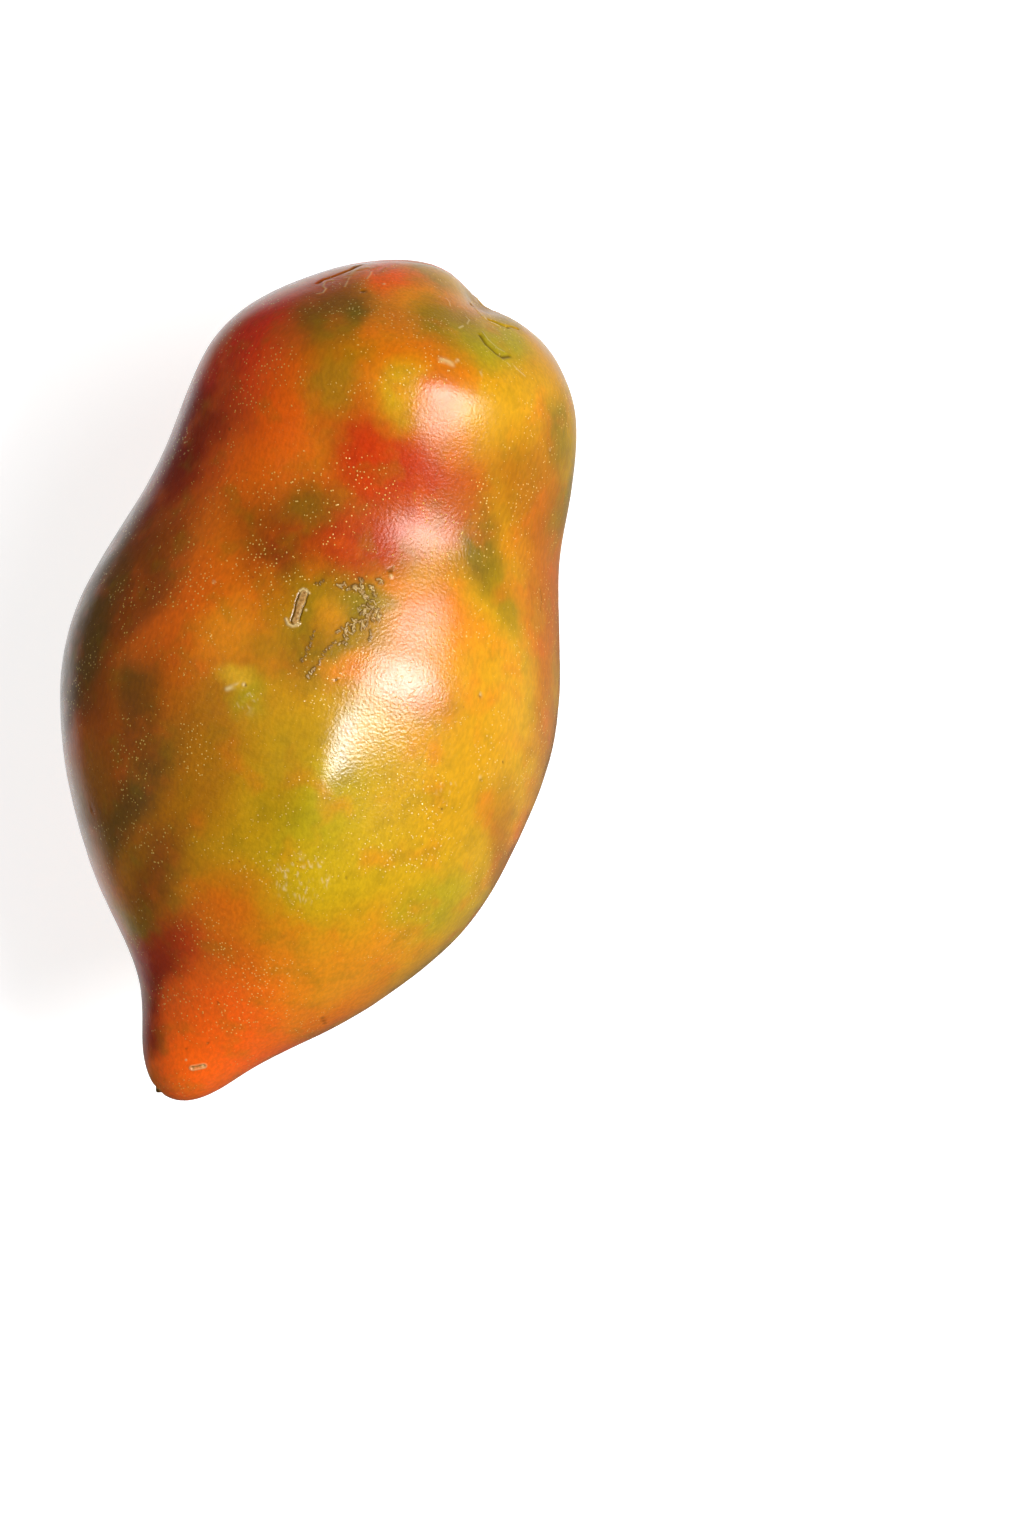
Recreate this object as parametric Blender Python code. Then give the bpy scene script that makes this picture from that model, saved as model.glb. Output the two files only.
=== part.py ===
"""A long, pointed paste tomato, picked with no stalk, lying on its back on a small flat spot.

The fruit grew as one piece, so it is one solid. It starts as a sphere whose poles are the stem end and
the blossom tip. Every point of it is moved by formula: out to the girth at its height, then in or out
for the stem hollow, the furrows that part the shoulder into lobes, and the low swellings of the belly.

Metres. +Y runs to the stem end, +X across the fruit, +Z up from the surface that it lies on.
"""

import bmesh
import bpy
import numpy as np

# Overall size, and how finely the sphere is divided
LENGTH = 0.150
SEGMENTS = 72
RINGS = 50

# Each station gives the egg of this length that touches the fruit there: its place along the fruit,
# then the middle and radius across, and the middle and radius in depth.
STATIONS = (
    (-0.075, -0.0034, 0.0212, 0.0000, 0.0212),
    (-0.066, -0.0016, 0.0210, 0.0002, 0.0210),
    (-0.056, 0.0020, 0.0260, 0.0004, 0.0253),
    (-0.045, 0.0024, 0.0334, 0.0005, 0.0316),
    (-0.034, 0.0020, 0.0383, 0.0005, 0.0360),
    (-0.018, 0.0005, 0.0415, 0.0005, 0.0381),
    (0.000, -0.0001, 0.0425, 0.0003, 0.0394),
    (0.018, 0.0000, 0.0398, -0.0008, 0.0387),
    (0.026, -0.0002, 0.0387, -0.0006, 0.0380),
    (0.034, -0.0004, 0.0390, 0.0005, 0.0388),
    (0.042, -0.0004, 0.0410, 0.0020, 0.0414),
    (0.050, -0.0003, 0.0438, 0.0033, 0.0457),
    (0.058, 0.0004, 0.0461, 0.0038, 0.0489),
    (0.066, 0.0012, 0.0462, 0.0021, 0.0474),
    (0.075, 0.0012, 0.0462, 0.0014, 0.0472),
)

# Stem hollow: its place across and up on the stem end, its depth and half width
HOLLOW_X = 0.0120
HOLLOW_Z = 0.0030
HOLLOW_DEPTH = 0.0040
HOLLOW_WIDTH = 0.0075

# Furrows run out from the stem hollow between the lobes: direction round it in degrees from +X over
# the side that faces up, then depth and half width in degrees
FURROWS = (
    (102.0, 0.0028, 30.0),
    (175.0, 0.0022, 13.0),
    (-104.0, 0.0032, 30.0),
    (-34.0, 0.0012, 20.0),
)
FURROW_DEEPEST = 0.0085
FURROW_REACH = 0.0170
SHOULDER_SPAN = 42.0

# Low swellings on the side that faces up: place across and along the fruit, height, reach across and along
SWELLINGS = (
    (0.0140, 0.0080, 0.00060, 0.0140, 0.0050),
    (0.0160, 0.0175, 0.00040, 0.0150, 0.0038),
    (0.0060, -0.0170, 0.00200, 0.0038, 0.0115),
    (0.0050, 0.0500, 0.00060, 0.0070, 0.0080),
)

# How deep the skin is pressed flat where the fruit rests
REST_PRESS = 0.0010

SKIN = (0.62, 0.16, 0.02, 1.0)
SKIN_ROUGHNESS = 0.28


def through(places, values, at):
    """A natural cubic through the stations, smooth in slope and in bend so that no highlight kinks."""
    step = np.diff(places)
    slope = np.diff(values) / step
    count = len(places)
    system = np.eye(count)
    change = np.zeros(count)
    for i in range(1, count - 1):
        system[i, i - 1 : i + 2] = step[i - 1], 2 * (step[i - 1] + step[i]), step[i]
        change[i] = 6 * (slope[i] - slope[i - 1])
    bend = np.linalg.solve(system, change)
    i = np.clip(np.searchsorted(places, at) - 1, 0, count - 2)
    run = at - places[i]
    start = slope[i] - step[i] * (2 * bend[i] + bend[i + 1]) / 6
    curl = (bend[i + 1] - bend[i]) / (6 * step[i])
    return values[i] + run * (start + run * (bend[i] / 2 + run * curl))


def bell(distance, width):
    return np.exp(-((distance / width) ** 2))


def turn_between(angle, other):
    """Degrees from one direction to another, the short way round."""
    return (angle - other + 180.0) % 360.0 - 180.0


def egg_points(direction):
    """The plain body of the fruit, before its hollow and furrows."""
    across, along, up = direction.T
    stations = np.array(STATIONS)
    height = along * LENGTH / 2
    middle_x, radius_x, middle_z, radius_z = (
        through(stations[:, 0], values, height) for values in stations[:, 1:].T
    )
    return np.column_stack((middle_x + radius_x * across, height, middle_z + radius_z * up))


def shoulder_rise(direction, egg):
    """How far the skin near the stem end stands in from the plain body, as a negative number."""
    side = egg[:, 0] - HOLLOW_X
    up = egg[:, 2] - HOLLOW_Z
    out = np.hypot(side, up)
    turn = np.degrees(np.arctan2(up, side))
    from_stem = np.degrees(np.arccos(np.clip(direction[:, 1], -1, 1)))
    rise = -HOLLOW_DEPTH * bell(out, HOLLOW_WIDTH)
    run = bell(np.maximum(out - FURROW_DEEPEST, 0), FURROW_REACH) * bell(
        np.minimum(out - FURROW_DEEPEST, 0), FURROW_DEEPEST / 2
    )
    for angle, depth, width in FURROWS:
        rise = rise - depth * run * bell(turn_between(turn, angle), width)
    return rise * bell(from_stem, SHOULDER_SPAN)


def swelling_rise(egg):
    """How far the low swellings lift the skin of the upper side."""
    rise = np.zeros(len(egg))
    for x, y, height, reach_across, reach_along in SWELLINGS:
        rise = rise + height * bell(egg[:, 0] - x, reach_across) * bell(egg[:, 1] - y, reach_along)
    return np.where(egg[:, 2] > 0, rise, 0.0)


def fruit_points(direction):
    """Moves points of a unit sphere, whose +Y is the stem end, to the fruit's skin."""
    egg = egg_points(direction)
    rise = shoulder_rise(direction, egg) + swelling_rise(egg)
    return egg + direction * rise[:, None]


def rest_on_flat(points):
    """Presses the lowest skin flat at height zero and centres the fruit over the origin."""
    points = points.copy()
    points[:, 2] -= points[:, 2].min() + REST_PRESS
    points[:, 2] = np.maximum(points[:, 2], 0.0)
    middle = (points.min(axis=0) + points.max(axis=0)) / 2
    points[:, :2] -= middle[:2]
    return points


def skin_material():
    material = bpy.data.materials.new("tomato_skin")
    material.use_nodes = True
    shader = material.node_tree.nodes["Principled BSDF"]
    shader.inputs["Base Color"].default_value = SKIN
    shader.inputs["Roughness"].default_value = SKIN_ROUGHNESS
    shader.inputs["Metallic"].default_value = 0.0
    return material


def make_tomato(collection):
    shape = bmesh.new()
    bmesh.ops.create_uvsphere(shape, u_segments=SEGMENTS, v_segments=RINGS, radius=1.0)
    ball = np.array([vertex.co for vertex in shape.verts])
    # The sphere's poles are on Z: this turns its +Z pole to +Y.
    direction = np.column_stack((ball[:, 0], ball[:, 2], -ball[:, 1]))
    for vertex, point in zip(shape.verts, rest_on_flat(fruit_points(direction))):
        vertex.co = point
    mesh = bpy.data.meshes.new("tomato")
    shape.to_mesh(mesh)
    shape.free()
    mesh.shade_smooth()
    mesh.materials.append(skin_material())
    tomato = bpy.data.objects.new("tomato", mesh)
    collection.objects.link(tomato)
    return tomato


def main():
    for thing in list(bpy.data.objects):
        bpy.data.objects.remove(thing)
    collection = bpy.data.collections.new("paste tomato")
    bpy.context.scene.collection.children.link(collection)
    make_tomato(collection)


main()
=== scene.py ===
# %% [markdown]
# A long, pointed paste tomato, picked at the turn from green to red, lies on its back on a pale table.
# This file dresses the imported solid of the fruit. The solid gives the place, the size and the resting
# spot. The cells below make the fine skin, its scars, its mottled paint and its gloss, and then the
# table, the lights and the camera. One sheet of skin is enough, because the fruit grew as one piece.

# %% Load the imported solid
from math import cos, pi, radians, sin

import bmesh
import bpy
import numpy as np
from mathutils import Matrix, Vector, noise
from mathutils.bvhtree import BVHTree


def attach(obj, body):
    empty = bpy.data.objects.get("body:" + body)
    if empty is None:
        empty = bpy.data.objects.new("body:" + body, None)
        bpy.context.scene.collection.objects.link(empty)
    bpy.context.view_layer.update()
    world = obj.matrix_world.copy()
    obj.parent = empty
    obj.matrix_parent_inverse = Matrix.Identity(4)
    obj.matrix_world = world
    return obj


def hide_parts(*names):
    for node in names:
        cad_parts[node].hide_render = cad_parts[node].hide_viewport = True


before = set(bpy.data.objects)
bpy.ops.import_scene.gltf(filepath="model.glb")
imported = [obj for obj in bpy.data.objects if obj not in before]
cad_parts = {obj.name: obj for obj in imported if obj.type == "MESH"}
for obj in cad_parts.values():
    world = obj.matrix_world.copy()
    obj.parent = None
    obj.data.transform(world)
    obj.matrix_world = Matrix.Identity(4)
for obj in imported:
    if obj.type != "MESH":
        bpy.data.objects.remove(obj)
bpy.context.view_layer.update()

# %% [markdown]
# The fruit lies down, so the camera looks straight down on it. Turning the camera about its own line
# of sight gives the fruit the lean that it has in the picture. Two places in the 1024 by 1536 picture
# fix the framing: the middle of the fruit, and the middle of the picture.

# %% Camera over the table
MM = 0.001
FRAME_WIDTH_PX = 1024
FRAME_HEIGHT_PX = 1536
FRUIT_MIDDLE_PX = (312.5, 684.2)
FRUIT_LENGTH_PX = 877.5
FRUIT_LENGTH = 150 * MM
LEAN = radians(16.0)
OUTLINE_HEIGHT = 39 * MM
CAMERA_DISTANCE = 1.2
SENSOR = 36.0

metres_per_px = FRUIT_LENGTH / FRUIT_LENGTH_PX


def over_fruit(px, py):
    """The place across and along the fruit, at the height of its outline, that a picture pixel shows."""
    right = (px - FRUIT_MIDDLE_PX[0]) * metres_per_px
    down = (py - FRUIT_MIDDLE_PX[1]) * metres_per_px
    return right * cos(LEAN) + down * sin(LEAN), right * sin(LEAN) - down * cos(LEAN)


def add_object(name, data):
    thing = bpy.data.objects.new(name, data)
    bpy.context.scene.collection.objects.link(thing)
    return thing


camera_x, camera_y = over_fruit(FRAME_WIDTH_PX / 2, FRAME_HEIGHT_PX / 2)
camera_data = bpy.data.cameras.new("camera")
camera_data.sensor_width = SENSOR
camera_data.lens = SENSOR * CAMERA_DISTANCE / (FRAME_HEIGHT_PX * metres_per_px)
camera = add_object("camera", camera_data)
camera.location = (camera_x, camera_y, OUTLINE_HEIGHT + CAMERA_DISTANCE)
camera.rotation_euler = (0.0, 0.0, LEAN)
bpy.context.scene.camera = camera
print(f"lens {camera_data.lens:.1f} mm, camera over {camera_x / MM:.1f}, {camera_y / MM:.1f} mm")

# %% [markdown]
# A paste tomato is a turned shape only in part: its girth swells and narrows along its length, and its
# middle wanders. A Screw modifier could turn one profile, but not a different width and depth. Here
# each station names the egg of the fruit's length that would touch the skin there, and a smooth curve
# runs through the stations. The two ends stay round, because every egg is round at its ends.

# %% Girth along the fruit
# Each station: place along, middle and radius across, middle and radius in depth.
STATIONS = (
    (-0.075, -0.0034, 0.0212, 0.0000, 0.0212),
    (-0.066, -0.0016, 0.0210, 0.0002, 0.0210),
    (-0.056, 0.0020, 0.0260, 0.0004, 0.0253),
    (-0.045, 0.0024, 0.0334, 0.0005, 0.0316),
    (-0.034, 0.0020, 0.0383, 0.0005, 0.0360),
    (-0.018, 0.0005, 0.0415, 0.0005, 0.0381),
    (0.000, -0.0001, 0.0425, 0.0003, 0.0394),
    (0.018, 0.0000, 0.0398, -0.0008, 0.0387),
    (0.026, -0.0002, 0.0387, -0.0006, 0.0380),
    (0.034, -0.0004, 0.0390, 0.0005, 0.0388),
    (0.042, -0.0004, 0.0410, 0.0020, 0.0414),
    (0.050, -0.0003, 0.0438, 0.0033, 0.0457),
    (0.058, 0.0004, 0.0461, 0.0038, 0.0489),
    (0.066, 0.0012, 0.0462, 0.0021, 0.0474),
    (0.075, 0.0012, 0.0462, 0.0014, 0.0472),
)


def through(places, values, at):
    """A natural cubic through the stations, smooth in slope and in bend so that no highlight kinks."""
    step = np.diff(places)
    slope = np.diff(values) / step
    count = len(places)
    system = np.eye(count)
    change = np.zeros(count)
    for i in range(1, count - 1):
        system[i, i - 1 : i + 2] = step[i - 1], 2 * (step[i - 1] + step[i]), step[i]
        change[i] = 6 * (slope[i] - slope[i - 1])
    bend = np.linalg.solve(system, change)
    i = np.clip(np.searchsorted(places, at) - 1, 0, count - 2)
    run = at - places[i]
    start = slope[i] - step[i] * (2 * bend[i] + bend[i + 1]) / 6
    curl = (bend[i + 1] - bend[i]) / (6 * step[i])
    return values[i] + run * (start + run * (bend[i] / 2 + run * curl))


def egg_points(direction):
    """The plain body of the fruit, before its hollow and furrows."""
    across, along, up = direction.T
    stations = np.array(STATIONS)
    height = along * FRUIT_LENGTH / 2
    middle_x, radius_x, middle_z, radius_z = (
        through(stations[:, 0], values, height) for values in stations[:, 1:].T
    )
    return np.column_stack((middle_x + radius_x * across, height, middle_z + radius_z * up))


# %% [markdown]
# The shoulder of the fruit is parted into lobes by furrows that run out of the stem hollow. They are
# dents in the plain body: each one is a bell curve across its own direction, and another bell curve
# lets them all fade before they reach the waist.

# %% Shoulder, stem hollow and furrows
HOLLOW_X = 12 * MM
HOLLOW_Z = 3 * MM
HOLLOW_DEPTH = 4 * MM
HOLLOW_WIDTH = 7.5 * MM
FURROWS = (  # direction round the hollow in degrees, depth, half width in degrees
    (102.0, 2.8 * MM, 30.0),
    (175.0, 2.2 * MM, 13.0),
    (-104.0, 3.2 * MM, 30.0),
    (-34.0, 1.2 * MM, 20.0),
)
FURROW_DEEPEST = 8.5 * MM
FURROW_REACH = 17 * MM
SHOULDER_SPAN = 42.0


def bell(distance, width):
    return np.exp(-((distance / width) ** 2))


def shoulder_rise(direction, egg):
    """How far the skin near the stem end stands in from the plain body, as a negative number."""
    side = egg[:, 0] - HOLLOW_X
    up = egg[:, 2] - HOLLOW_Z
    out = np.hypot(side, up)
    turn = np.degrees(np.arctan2(up, side))
    from_stem = np.degrees(np.arccos(np.clip(direction[:, 1], -1, 1)))
    rise = -HOLLOW_DEPTH * bell(out, HOLLOW_WIDTH)
    run = bell(np.maximum(out - FURROW_DEEPEST, 0), FURROW_REACH) * bell(
        np.minimum(out - FURROW_DEEPEST, 0), FURROW_DEEPEST / 2
    )
    for angle, depth, width in FURROWS:
        away = (turn - angle + 180.0) % 360.0 - 180.0
        rise = rise - depth * run * bell(away, width)
    return rise * bell(from_stem, SHOULDER_SPAN)


# %% [markdown]
# The belly is not quite even. Four low swellings, none higher than 2 mm, break the softbox's mirror
# image on the skin into the row of separate highlights that a real tomato shows. Last, the lowest skin
# is pressed flat where the fruit rests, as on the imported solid.

# %% Low swellings and the resting spot
# Each: place across and along the fruit, height, reach across and along.
SWELLINGS = (
    (0.018, 0.006, 0.0006, 0.014, 0.007),
    (0.020, 0.020, 0.0008, 0.012, 0.007),
    (0.006, -0.018, 0.0020, 0.006, 0.0115),
    (0.006, 0.041, 0.0010, 0.009, 0.008),
)
REST_PRESS = 1.0 * MM


def swelling_rise(egg):
    rise = np.zeros(len(egg))
    for x, y, height, reach_across, reach_along in SWELLINGS:
        rise = rise + height * bell(egg[:, 0] - x, reach_across) * bell(egg[:, 1] - y, reach_along)
    return np.where(egg[:, 2] > 0, rise, 0.0)


def skin_points(direction):
    """Points of the smooth skin, resting on the table, for points of a unit sphere."""
    egg = egg_points(direction)
    points = egg + direction * (shoulder_rise(direction, egg) + swelling_rise(egg))[:, None]
    points[:, 2] -= points[:, 2].min() + REST_PRESS
    points[:, 2] = np.maximum(points[:, 2], 0.0)
    middle = (points.min(axis=0) + points.max(axis=0)) / 2
    points[:, :2] -= middle[:2]
    return points


# %% [markdown]
# The mesh starts as a UV sphere whose poles are the stem end and the tip, because its rings then follow
# the fruit's girth and its seams its length. An even sphere would spend as many faces on the hidden
# back as on the side that shows, so the rings crowd together at the belly and the seams at the top.

# %% A ball with its faces crowded where they show
SEAMS = 180
RINGS = 150
CROWD_RINGS = 0.20
CROWD_SEAMS = 0.35


def crowded_direction(ball):
    """Turns the ball's +Z pole to the stem end, +Y, and crowds its seams towards +Z."""
    polar = np.arccos(np.clip(ball[:, 2], -1, 1))
    around = np.arctan2(ball[:, 1], ball[:, 0])
    polar = polar + CROWD_RINGS * np.sin(2 * polar)
    around = around - CROWD_SEAMS * np.sin(around)
    return np.column_stack((np.sin(polar) * np.sin(around), np.cos(polar), np.sin(polar) * np.cos(around)))


def coordinates(shape):
    return np.array([vertex.co for vertex in shape.verts])


shape = bmesh.new()
bmesh.ops.create_uvsphere(shape, u_segments=SEAMS, v_segments=RINGS, radius=1.0)
for vertex, direction in zip(shape.verts, crowded_direction(coordinates(shape))):
    vertex.co = direction
smooth_points = skin_points(coordinates(shape))
print(len(shape.verts), "points on the first ball")

# %% [markdown]
# Scars and colour patches are placed where the picture shows them. A ray from the camera through a
# picture pixel is followed until it meets the smooth skin, with Blender's BVHTree. The mark then sits
# on the skin itself, so it stays put when the fruit is seen from the side.

# %% The skin that a picture pixel shows
shape.verts.ensure_lookup_table()
skin_tree = BVHTree.FromPolygons(
    [Vector(point) for point in smooth_points],
    [[vertex.index for vertex in face.verts] for face in shape.faces],
)


def skin_at(px, py):
    """The point of the smooth skin that a picture pixel shows, or the nearest one past its outline."""
    eye = camera.location
    aim = Vector((*over_fruit(px, py), OUTLINE_HEIGHT))
    hit = skin_tree.ray_cast(eye, aim - eye)[0]
    return hit if hit is not None else skin_tree.find_nearest(aim)[0]


def skin_path(*pixels):
    return np.array([skin_at(*pixel) for pixel in pixels])


print("skin in the middle of the picture's fruit:", skin_at(*FRUIT_MIDDLE_PX))

# %% [markdown]
# The marks on the skin are listed before the mesh is cut, because they say where it has to be fine.
# Each line has its path in picture pixels, its half width, its height (below zero for a crease), and
# how pale, dark and corky it is. The last number breaks the line up, because dry edges are never whole.
# Numbers left off at the end are zero.

# %% Lines and pits in the skin
GRAZE = ((304, 593), (299, 607), (295, 621))
LINES = (
    # Healed graze: its dried upper and lower ends
    (((300, 591), (303, 589), (306, 590), (309, 593)), 0.2, 0.2, 0.9, 0, 0.5),
    (((286, 619), (288, 624), (292, 626), (297, 625), (299, 623)), 0.24, 0.2, 0.8, 0, 0.8),
    (((302, 593), (307, 592)), 0.16, -0.1, 0, 0.8),
    # Shoulder: the fold, the pale crack below it and the dry greyish edge
    (((318, 283), (322, 280), (334, 276), (349, 270), (360, 265)), 0.35, -0.4, 0, 0.85),
    (((317, 294), (323, 293), (326, 289), (323, 287), (325, 282), (333, 280)), 0.18, 0.1, 0.55),
    (((347, 277), (354, 271), (363, 268), (372, 267), (383, 268)), 0.7, 0.1, 0.45, 0.2, 0, 0.5),
    (((349, 278), (345, 287)), 0.18, 0.06, 0.45, 0, 0, 0.3),
    (((371, 272), (370, 275), (367, 279)), 0.2, 0.08, 0.45),
    # Stem end: the curved crease with its raised lip, and short pale lines
    (((480, 335), (486, 344), (496, 353), (502, 357), (509, 356)), 0.36, -0.22, 0, 0.75),
    (((482, 332), (488, 340), (498, 349), (504, 352)), 0.14, 0.1, 0.35),
    # The stem hollow, seen from the side: its dark fold, the dry lip in front and a red crease beyond
    (((489, 320), (495, 322), (502, 325), (507, 327)), 0.34, -0.35, 0, 0.7),
    (((505, 326), (512, 327), (518, 329)), 0.22, -0.2, 0, 0.35),
    (((482, 316), (486, 319), (491, 322), (497, 325)), 0.28, 0.1, 0.8),
    (((507, 363), (510, 366)), 0.14, 0.06, 0.5),
    (((514, 366), (519, 371), (525, 376)), 0.15, 0.08, 0.55),
    (((439, 297), (446, 299), (449, 302), (450, 306)), 0.16, 0.06, 0.35),
    (((466, 317), (469, 320), (467, 324)), 0.15, 0.08, 0.55),
    (((459, 328), (463, 326)), 0.18, 0.06, 0.6),
    (((475, 308), (479, 312), (483, 317)), 0.24, 0.08, 0.4),
    (((441, 360), (446, 361), (452, 364)), 0.45, 0.12, 0.7, 0, 0.2, 0.2),
    (((456, 361), (458, 360)), 0.22, 0.06, 0.7),
    (((480, 371), (482, 376)), 0.16, 0.04, 0.5),
    # Waist on the right: two fine dark cracks
    (((540, 588), (542, 598), (541, 610)), 0.16, -0.06, 0, 0.55, 0, 0.2),
    (((530, 585), (532, 600), (532, 622)), 0.16, -0.04, 0, 0.3, 0, 0.2),
    # Belly: the dry fleck on the left, and a small crack in the skin of the tip
    (((227, 689), (235, 686), (243, 684)), 0.36, 0.08, 0.9, 0, 0, 0.45),
    (((322, 1017), (324, 1022), (325, 1024)), 0.22, -0.12, 0, 0.7),
)
PITS = (  # picture pixel, radius in mm, depth in mm, dark, pale
    ((346, 877), 0.2, 0.1, 1, 0),
    ((245, 685), 0.24, 0.15, 0.9, 0),
    ((336, 680), 0.26, 0.15, 0.9, 0),
    ((338, 678), 0.12, -0.05, 0, 0.9),
    ((442, 809), 0.2, 0.1, 0.9, 0),
    ((503, 762), 0.2, 0.1, 0.8, 0),
    ((480, 696), 0.34, 0.2, 0.7, 0),
    ((481, 694), 0.22, 0.05, 0, 0.9),
    ((481, 780), 0.32, 0.15, 0.6, 0),
    ((480, 777), 0.26, 0, 0, 0.8),
    ((390, 570), 0.45, 0.25, 1, 0),
    ((391, 576), 0.3, -0.15, 0, 0.9),
    ((393, 567), 0.24, -0.1, 0, 0.8),
    ((306, 610), 0.2, -0.05, 0, 1),
    ((363, 291), 0.5, 0.2, 0.8, 0),
    ((472, 305), 0.45, 0.25, 1, 0),
    ((384, 284), 0.24, -0.05, 0, 0.9),
    ((92, 810), 0.3, 0.15, 0.9, 0),
    ((146, 589), 0.25, 0.1, 0.9, 0),
    ((229, 429), 0.2, 0.1, 0.8, 0),
    ((214, 582), 0.24, -0.04, 0, 0.7),
    ((186, 1049), 0.24, 0.08, 0.5, 0),
    ((186, 1060), 0.18, -0.03, 0, 0.9),
    ((208, 1043), 0.2, 0.06, 0.6, 0),
    ((550, 451), 0.26, 0.1, 0.6, 0),
    ((550, 449), 0.18, -0.04, 0, 0.8),
)
print(len(LINES), "lines and", len(PITS), "pits")

# %% [markdown]
# Beside the graze the skin has broken into a net of corky crumbs. They lie in chains. Each chain has a
# path, a number of crumbs, how far they stray from the path, how long they are, and how dry and pale
# their tops are. The thin tails of the net are more crack than crumb.

# %% Chains of corky crumbs
CHAINS = (  # path in picture pixels, crumbs, strays in mm, length in mm, paleness
    (((352, 587), (357, 588), (362, 592)), 9, 0.22, 0.8, 0.7),
    (((359, 579), (364, 580)), 3, 0.12, 0.6, 0.5),
    (((362, 582), (361, 588)), 4, 0.15, 0.6, 0.6),
    (((362, 594), (366, 600), (366, 608), (366, 615)), 20, 0.55, 0.65, 0.55),
    (((372, 603), (375, 610), (374, 618)), 15, 0.5, 0.6, 0.5),
    (((378, 580), (381, 583)), 2, 0.1, 0.8, 0.8),
    (((371, 586), (373, 590), (374, 596)), 5, 0.15, 0.7, 0.7),
    (((366, 618), (362, 622), (357, 626), (349, 629), (342, 634)), 24, 0.55, 0.7, 0.6),
    (((351, 624), (355, 629)), 2, 0.1, 1.1, 0.9),
    (((348, 637), (345, 641), (339, 643)), 6, 0.25, 0.5, 0.4),
    (((336, 640), (330, 646), (325, 650), (321, 659), (316, 667)), 12, 0.1, 0.45, 0.15),
    (((315, 668), (311, 673), (306, 678)), 5, 0.12, 0.6, 0.6),
    (((313, 631), (313, 638), (308, 649), (304, 658), (300, 661)), 9, 0.12, 0.4, 0.15),
    (((308, 646), (309, 651)), 3, 0.2, 0.5, 0.3),
    (((370, 630), (370, 636), (369, 642)), 4, 0.12, 0.4, 0.4),
    (((314, 584), (321, 583), (324, 580)), 4, 0.1, 0.35, 0.3),
    (((336, 587), (341, 584), (345, 586), (350, 590)), 8, 0.25, 0.45, 0.5),
    (((381, 616), (379, 617)), 2, 0.1, 0.6, 0.7),
)
CRUMB_HALF_WIDTH = 0.13 * MM
print(sum(chain[1] for chain in CHAINS), "crumbs in", len(CHAINS), "chains")

# %% [markdown]
# A crumb needs points a tenth of a millimetre apart, and the whole skin at that pitch would take
# millions. So the faces near the marks are cut finer, with bmesh.ops.subdivide_edges: once in whole
# areas, and once more along the marks. The new points are pushed back out to the ball, which makes them
# follow the same formulas as the rest.

# %% Finer faces round the marks
FINE_AREAS = (  # picture pixel in the middle, reach in mm
    ((342, 622), 12.0),
    ((492, 335), 10.5),
    ((345, 281), 8.0),
    ((302, 879), 6.5),
    ((198, 1067), 3.0),
    ((160, 1089), 3.5),
    ((240, 690), 3.5),
    ((447, 793), 3.5),
)
FINEST_REACH = 1.1 * MM
SLIT_REGION = ((192, 1068), (204, 1066))
STUB_PX = (158, 1090)
FINEST_PATHS = [GRAZE, (STUB_PX,), SLIT_REGION]
FINEST_PATHS += [chain[0] for chain in CHAINS] + [line[0] for line in LINES] + [(pit[0],) for pit in PITS]
CUTS = 2


def path_distance(path, near):
    """Distance from the path and how far along it, from 0 to 1, for the points that are near."""
    if len(path) == 1:
        return np.linalg.norm(near - path[0], axis=1), np.zeros(len(near))
    best = np.full(len(near), np.inf)
    along = np.zeros(len(near))
    lengths = np.linalg.norm(np.diff(path, axis=0), axis=1)
    for i, length in enumerate(lengths):
        start, run = path[i], (path[i + 1] - path[i]) / length
        place = np.clip((near - start) @ run, 0, length)
        distance = np.linalg.norm(near - start - place[:, None] * run, axis=1)
        closer = distance < best
        best[closer] = distance[closer]
        along[closer] = (lengths[:i].sum() + place[closer]) / lengths.sum()
    return best, along


def unit(vectors):
    return vectors / np.linalg.norm(vectors, axis=1)[:, None]


def cut_faces(shape, marks):
    """Cuts the faces near the marks. A mark is a path in picture pixels and a reach."""
    on_skin = skin_points(unit(coordinates(shape)))
    corners = [[vertex.index for vertex in face.verts] for face in shape.faces]
    middles = np.array([on_skin[of_face].mean(axis=0) for of_face in corners])
    chosen = np.zeros(len(middles), dtype=bool)
    for pixels, reach in marks:
        chosen |= path_distance(skin_path(*pixels), middles)[0] < reach
    edges = {edge for face, cut in zip(shape.faces, chosen) if cut for edge in face.edges}
    bmesh.ops.subdivide_edges(shape, edges=list(edges), cuts=CUTS, use_grid_fill=True)
    shape.verts.index_update()


cut_faces(shape, [((pixel,), reach * MM) for pixel, reach in FINE_AREAS])
cut_faces(shape, [(pixels, FINEST_REACH) for pixels in FINEST_PATHS])
direction = unit(coordinates(shape))
points = skin_points(direction)
for vertex, point in zip(shape.verts, points):
    vertex.co = point
mesh = bpy.data.meshes.new("tomato_skin")
shape.to_mesh(mesh)
shape.free()
mesh.shade_smooth()
normals = np.zeros(len(mesh.vertices) * 3)
mesh.vertex_normals.foreach_get("vector", normals)
normals = normals.reshape(-1, 3)
mesh.calc_loop_triangles()
print(len(points), "points and", len(mesh.loop_triangles), "triangles in the skin")

# %% [markdown]
# Relief is kept apart from the smooth skin. Every mark adds to how far the skin rises and to three
# masks that the paint reads later: cork for tan scar tissue, pale for dry raised edges, and dark for
# gaps, pits and the painted shade round the crumbs. Nearly all are worked out from the distance to a
# path on the skin.

# %% Relief and masks
rise = np.zeros(len(points))
masks = {name: np.zeros(len(points)) for name in ("cork", "pale", "dark")}


def near_path(path, reach):
    middle = path.mean(axis=0)
    span = np.linalg.norm(path - middle, axis=1).max() + reach
    return np.flatnonzero(np.linalg.norm(points - middle, axis=1) < span)


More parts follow.
